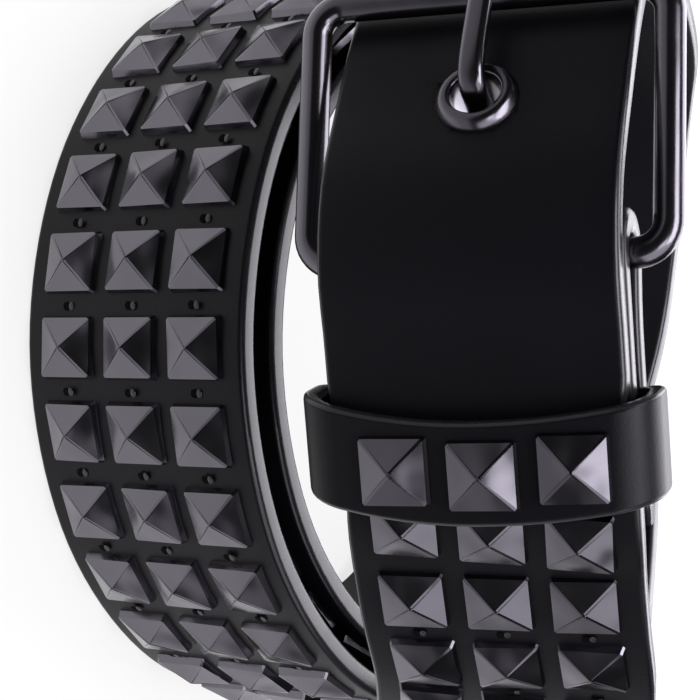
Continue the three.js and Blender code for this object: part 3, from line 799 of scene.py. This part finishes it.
def buckle_matrix():
    """Matrix of the buckle's own frame: x across the strap, y outwards, z towards its front bar."""
    origin = top_point(Vector((0, 0)))
    z = top_point(turned(FRAME_ALONG, 1)) - origin
    y = top_point(turned(FRAME_OUTWARD, 1)) - origin
    matrix = Matrix((TOP_ACROSS, y, z)).transposed().to_4x4()
    matrix.translation = top_point(HEEL)
    return matrix


class BELT_OT_buckle(bpy.types.Operator):
    """Bend the buckle's round bar into its frame"""

    bl_idname = "belt.buckle"
    bl_label = "Buckle frame"

    def execute(self, context):
        bm = bmesh.new()
        side = FRAME_WIDTH / 2 - BAR_RADIUS
        bmesh.ops.create_circle(
            bm, segments=24, radius=BAR_RADIUS,
            matrix=Matrix.Translation((side, 0, FRAME_REACH / 2)),
        )
        loop = bm.edges[:]

        def grow(edges, vector):
            grown = bmesh.ops.extrude_edge_only(bm, edges=edges)["geom"]
            verts = [item for item in grown if isinstance(item, bmesh.types.BMVert)]
            bmesh.ops.translate(bm, vec=vector, verts=verts)
            return [item for item in grown if isinstance(item, bmesh.types.BMEdge)]

        loop = grow(loop, (0, 0, FRAME_REACH / 2 - FRAME_CORNER))
        corner = (side - FRAME_CORNER, 0, FRAME_REACH - FRAME_CORNER)
        spun = bmesh.ops.spin(
            bm, geom=loop, cent=corner, axis=(0, 1, 0), angle=-math.pi / 2, steps=10,
            dvec=(0, 0, 0), use_merge=False, use_duplicate=False,
        )["geom_last"]
        loop = [item for item in spun if isinstance(item, bmesh.types.BMEdge)]
        grow(loop, (FRAME_CORNER - side, 0, 0))
        for axis, middle in (("X", (0, 0, 0)), ("Z", (0, 0, FRAME_REACH / 2))):
            bmesh.ops.mirror(
                bm, geom=bm.verts[:] + bm.edges[:] + bm.faces[:],
                matrix=Matrix.Translation(middle).inverted(), merge_dist=0.001, axis=axis,
            )
        bmesh.ops.remove_doubles(bm, verts=bm.verts, dist=0.001)
        bmesh.ops.transform(bm, matrix=buckle_matrix(), verts=bm.verts)
        nickel = black_nickel("Nickelled die-cast zinc", context.scene.belt_colours.metal, 0.2, 0.08)
        finish_piece(bm, "buckle", [nickel], ["buckle_frame"])
        return {"FINISHED"}


def prong_route():
    """The prong's middle line: round the heel bar, through the eyelet, on to the front bar."""
    half = PRONG_THICKNESS / 2
    hook = BAR_RADIUS + FIT_GAP + half
    hook_start = OUTWARD_ANGLE + math.radians(250)
    angles = [hook_start + (OUTWARD_ANGLE - hook_start) * step / 9 for step in range(10)]
    points = [HEEL + turned(angle, hook) for angle in angles]
    slope = FRONT_BAR - FREE_SHOULDER
    strap_along = math.atan2(slope.y, slope.x)
    strap_out = strap_along + math.pi / 2
    through = THICKNESS / 2 + EYELET_SEAT + EYELET_LIP + half + FIT_GAP
    for share in (-1, 0, 1):
        leant = turned(strap_out, share * through) + turned(strap_along, share * PRONG_LEAN)
        points.append(EYELET_POINT + leant)
    on_bar = FRONT_BAR + turned(FRAME_OUTWARD, hook)
    points += [on_bar, on_bar + turned(FRAME_ALONG, PRONG_OVERHANG)]
    return [(top_point(flat), TOP_ACROSS) for flat in points]


class BELT_OT_prong(bpy.types.Operator):
    """Bend the prong round the heel bar and through its eyelet"""

    bl_idname = "belt.prong"
    bl_label = "Prong"

    def execute(self, context):
        prong = Route(prong_route())
        bm = bmesh.new()
        faces = section(bm, PRONG_WIDTH, PRONG_THICKNESS, PRONG_ROUND, 5, 2)
        blunt = prong.length - 2
        stations = stations_between(0, blunt, 0.8) + stations_between(blunt, prong.length, 0.25)
        lengthen(bm, faces, [*stations, prong.length])
        for vert in bm.verts:
            share = vert.co.z / prong.length
            end = max(0.0, vert.co.z - (prong.length - PRONG_POINT)) / PRONG_POINT
            taper = (1 - PRONG_TAPER * share) * math.sqrt(1 - 0.85 * end * end)
            vert.co.x *= taper
            vert.co.y *= taper
        prong.bend(bm)
        nickel = black_nickel("Nickelled die-cast zinc", context.scene.belt_colours.metal, 0.2, 0.08)
        finish_piece(bm, "tongue", [nickel], ["prong"])
        return {"FINISHED"}


def eyelet_shape(bm):
    """A flanged barrel with rolled rims, round the y axis."""
    rim = THICKNESS / 2 + EYELET_SEAT + EYELET_LIP
    floor = THICKNESS / 2 - 0.2
    sheet = floor + EYELET_SHEET
    outline = (
        (EYELET_BORE, -rim), (EYELET_RIM, -rim), (EYELET_FLANGE, -sheet),
        (EYELET_FLANGE, -floor), (EYELET_BARREL, -floor),
        (EYELET_BARREL, floor), (EYELET_FLANGE, floor),
        (EYELET_FLANGE, sheet), (EYELET_RIM, rim), (EYELET_BORE, rim),
    )
    verts = [bm.verts.new((radius, height, 0)) for radius, height in outline]
    face = bm.faces.new(verts)
    rolled = [verts[i] for i in (0, 1, 2, 7, 8, 9)]
    bmesh.ops.bevel(
        bm, geom=rolled, offset=EYELET_ROLL, segments=3, profile=0.5, affect="VERTICES", material=-1,
    )
    edges = bm.edges[:]
    bmesh.ops.delete(bm, geom=[f for f in bm.faces], context="FACES_ONLY")
    bmesh.ops.spin(
        bm, geom=edges, cent=(0, 0, 0), axis=(0, 1, 0), angle=2 * math.pi, steps=40,
        dvec=(0, 0, 0), use_merge=True, use_duplicate=False,
    )
    bmesh.ops.remove_doubles(bm, verts=bm.verts, dist=0.001)


class BELT_OT_eyelets(bpy.types.Operator):
    """Set the eyelets in the plain end"""

    bl_idname = "belt.eyelets"
    bl_label = "Eyelets"

    def execute(self, context):
        nickel = black_nickel("Nickelled rolled brass", context.scene.belt_colours.metal, 0.22, 0.08)
        for number, at in enumerate(HOLES_AT, 1):
            bm = bmesh.new()
            eyelet_shape(bm)
            bmesh.ops.transform(bm, matrix=route.matrix(at), verts=bm.verts)
            finish_piece(bm, f"rolled_eyelet_{number}", [nickel], [f"eyelet_{number}"])
        rivets = black_nickel("Nickelled rivet steel", context.scene.belt_colours.metal, 0.25, 0.08)
        for number in (1, 2):
            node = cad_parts[f"tab_rivet_{number}"]
            node.data.materials.clear()
            node.data.materials.append(rivets)
        return {"FINISHED"}


# A pool of light painted on the floor as emission: its strength round the belt and far off, the pool's
# shift, and where it starts and ends fading, in metres
FLOOR_GLOW = 0.78
FAR_GLOW = 0.16
POOL_SHIFT = (0.0, -0.065, 0.0)
POOL_START = 0.132
POOL_END = 0.25
ROOM_GLOW = 0.03
LIGHT_COLOUR = (0.96, 0.94, 1.0)
# Name, direction from the belt, distance in metres, size in metres, watts
LIGHTS = (
    ("key softbox", (0.3, -0.6, 0.74), 0.9, (0.25, 0.25), 0.6),
    ("wide diffuser", (0.68, -0.33, 0.66), 1.1, (1.1, 1.1), 6.0),
    ("top strip", (0.0, -0.16, 0.98), 1.1, (1.0, 0.55), 11.0),
    ("back panel", (-0.1, 0.9, 0.42), 1.3, (1.6, 1.3), 28.0),
)
# The camera, round the coil's axis in mm, and its lens
CAMERA_PLACE = Vector((0.476, -279.23, 198.94))
CAMERA_RIGHT = Vector((-0.005, 0.545, 0.839))
CAMERA_BACK = Vector((0, -0.839, 0.545))
LENS = 105.7
SENSOR = 36.0


class BELT_OT_stage(bpy.types.Operator):
    """Set the floor, the lights and the camera"""

    bl_idname = "belt.stage"
    bl_label = "Stage"

    def execute(self, context):
        scene = context.scene
        bm = bmesh.new()
        bmesh.ops.create_grid(bm, x_segments=1, y_segments=1, size=4)
        mesh = bpy.data.meshes.new("floor")
        bm.to_mesh(mesh)
        bm.free()
        material, tree = new_material("Pale floor with a painted pool of light")
        place = add_node(tree, "ShaderNodeTexCoord").outputs["Object"]
        pool = add_node(tree, "ShaderNodeMapping", {"Location": POOL_SHIFT}, {"Vector": place})
        away = add_node(tree, "ShaderNodeVectorMath", {"operation": "LENGTH"})
        tree.links.new(pool.outputs[0], away.inputs[0])
        # Painted pool of light: the floor's own emission is brightest round the belt and fades over the next
        # 12 cm
        painted_pool_glow = add_node(
            tree, "ShaderNodeMapRange",
            {"From Min": POOL_START, "From Max": POOL_END, "To Min": FLOOR_GLOW, "To Max": FAR_GLOW},
            {"Value": away.outputs["Value"]},
        )
        shader = add_node(
            tree, "ShaderNodeBsdfPrincipled",
            {
                "Base Color": linear(scene.belt_colours.floor), "Roughness": 0.9,
                "Specular IOR Level": 0.1, "Emission Color": (1, 1, 1, 1),
            },
            {"Emission Strength": painted_pool_glow.outputs[0]},
        )
        finish_material(tree, shader)
        mesh.materials.append(material)
        floor = bpy.data.objects.new("floor", mesh)
        scene.collection.objects.link(floor)

        world = bpy.data.worlds.new("Soft room")
        world.use_nodes = True
        world.node_tree.nodes["Background"].inputs["Color"].default_value = (0.95, 0.96, 1, 1)
        world.node_tree.nodes["Background"].inputs["Strength"].default_value = ROOM_GLOW
        scene.world = world

        for name, direction, distance, size, power in LIGHTS:
            light = bpy.data.lights.new(name, "AREA")
            light.shape = "RECTANGLE"
            light.size, light.size_y = size
            light.energy = power
            light.color = LIGHT_COLOUR
            lamp = bpy.data.objects.new(name, light)
            place = Vector(direction).normalized() * distance
            lamp.location = place + Vector((0, 0, 0.05))
            lamp.rotation_euler = place.to_track_quat("Z", "Y").to_euler()
            scene.collection.objects.link(lamp)

        scene.view_settings.view_transform = "Standard"
        lens = bpy.data.cameras.new("camera")
        lens.lens = LENS
        lens.sensor_width = SENSOR
        lens.clip_start = 0.01
        camera = bpy.data.objects.new("camera", lens)
        back = CAMERA_BACK.normalized()
        up = back.cross(CAMERA_RIGHT).normalized()
        right = up.cross(back)
        matrix = Matrix((right, up, back)).transposed().to_4x4()
        matrix.translation = (CAMERA_PLACE + COIL_AXIS) * MM
        camera.matrix_world = matrix
        scene.collection.objects.link(camera)
        scene.camera = camera
        return {"FINISHED"}


class BELT_PT_panel(bpy.types.Panel):
    """Sizes, colours and the steps that build the belt"""

    bl_label = "Studded Belt"
    bl_idname = "BELT_PT_panel"
    bl_space_type = "VIEW_3D"
    bl_region_type = "UI"
    bl_category = "Belt"

    def draw(self, context):
        for group in (context.scene.belt_sizes, context.scene.belt_colours):
            for name in group.__annotations__:
                self.layout.prop(group, name)
        for operator in OPERATORS:
            self.layout.operator(operator.bl_idname)


OPERATORS = (
    BELT_OT_strap, BELT_OT_studs, BELT_OT_keeper, BELT_OT_buckle, BELT_OT_prong,
    BELT_OT_eyelets, BELT_OT_stage,
)
CLASSES = (BeltSizes, BeltColours, *OPERATORS, BELT_PT_panel)


def register():
    for cls in CLASSES:
        bpy.utils.register_class(cls)
    bpy.types.Scene.belt_sizes = PointerProperty(type=BeltSizes)
    bpy.types.Scene.belt_colours = PointerProperty(type=BeltColours)


def unregister():
    del bpy.types.Scene.belt_colours
    del bpy.types.Scene.belt_sizes
    for cls in reversed(CLASSES):
        bpy.utils.unregister_class(cls)


def main():
    register()
    bpy.ops.belt.strap()
    bpy.ops.belt.studs()
    bpy.ops.belt.keeper()
    bpy.ops.belt.buckle()
    bpy.ops.belt.prong()
    bpy.ops.belt.eyelets()
    bpy.ops.belt.stage()
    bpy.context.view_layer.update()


if __name__ == "__main__":
    main()
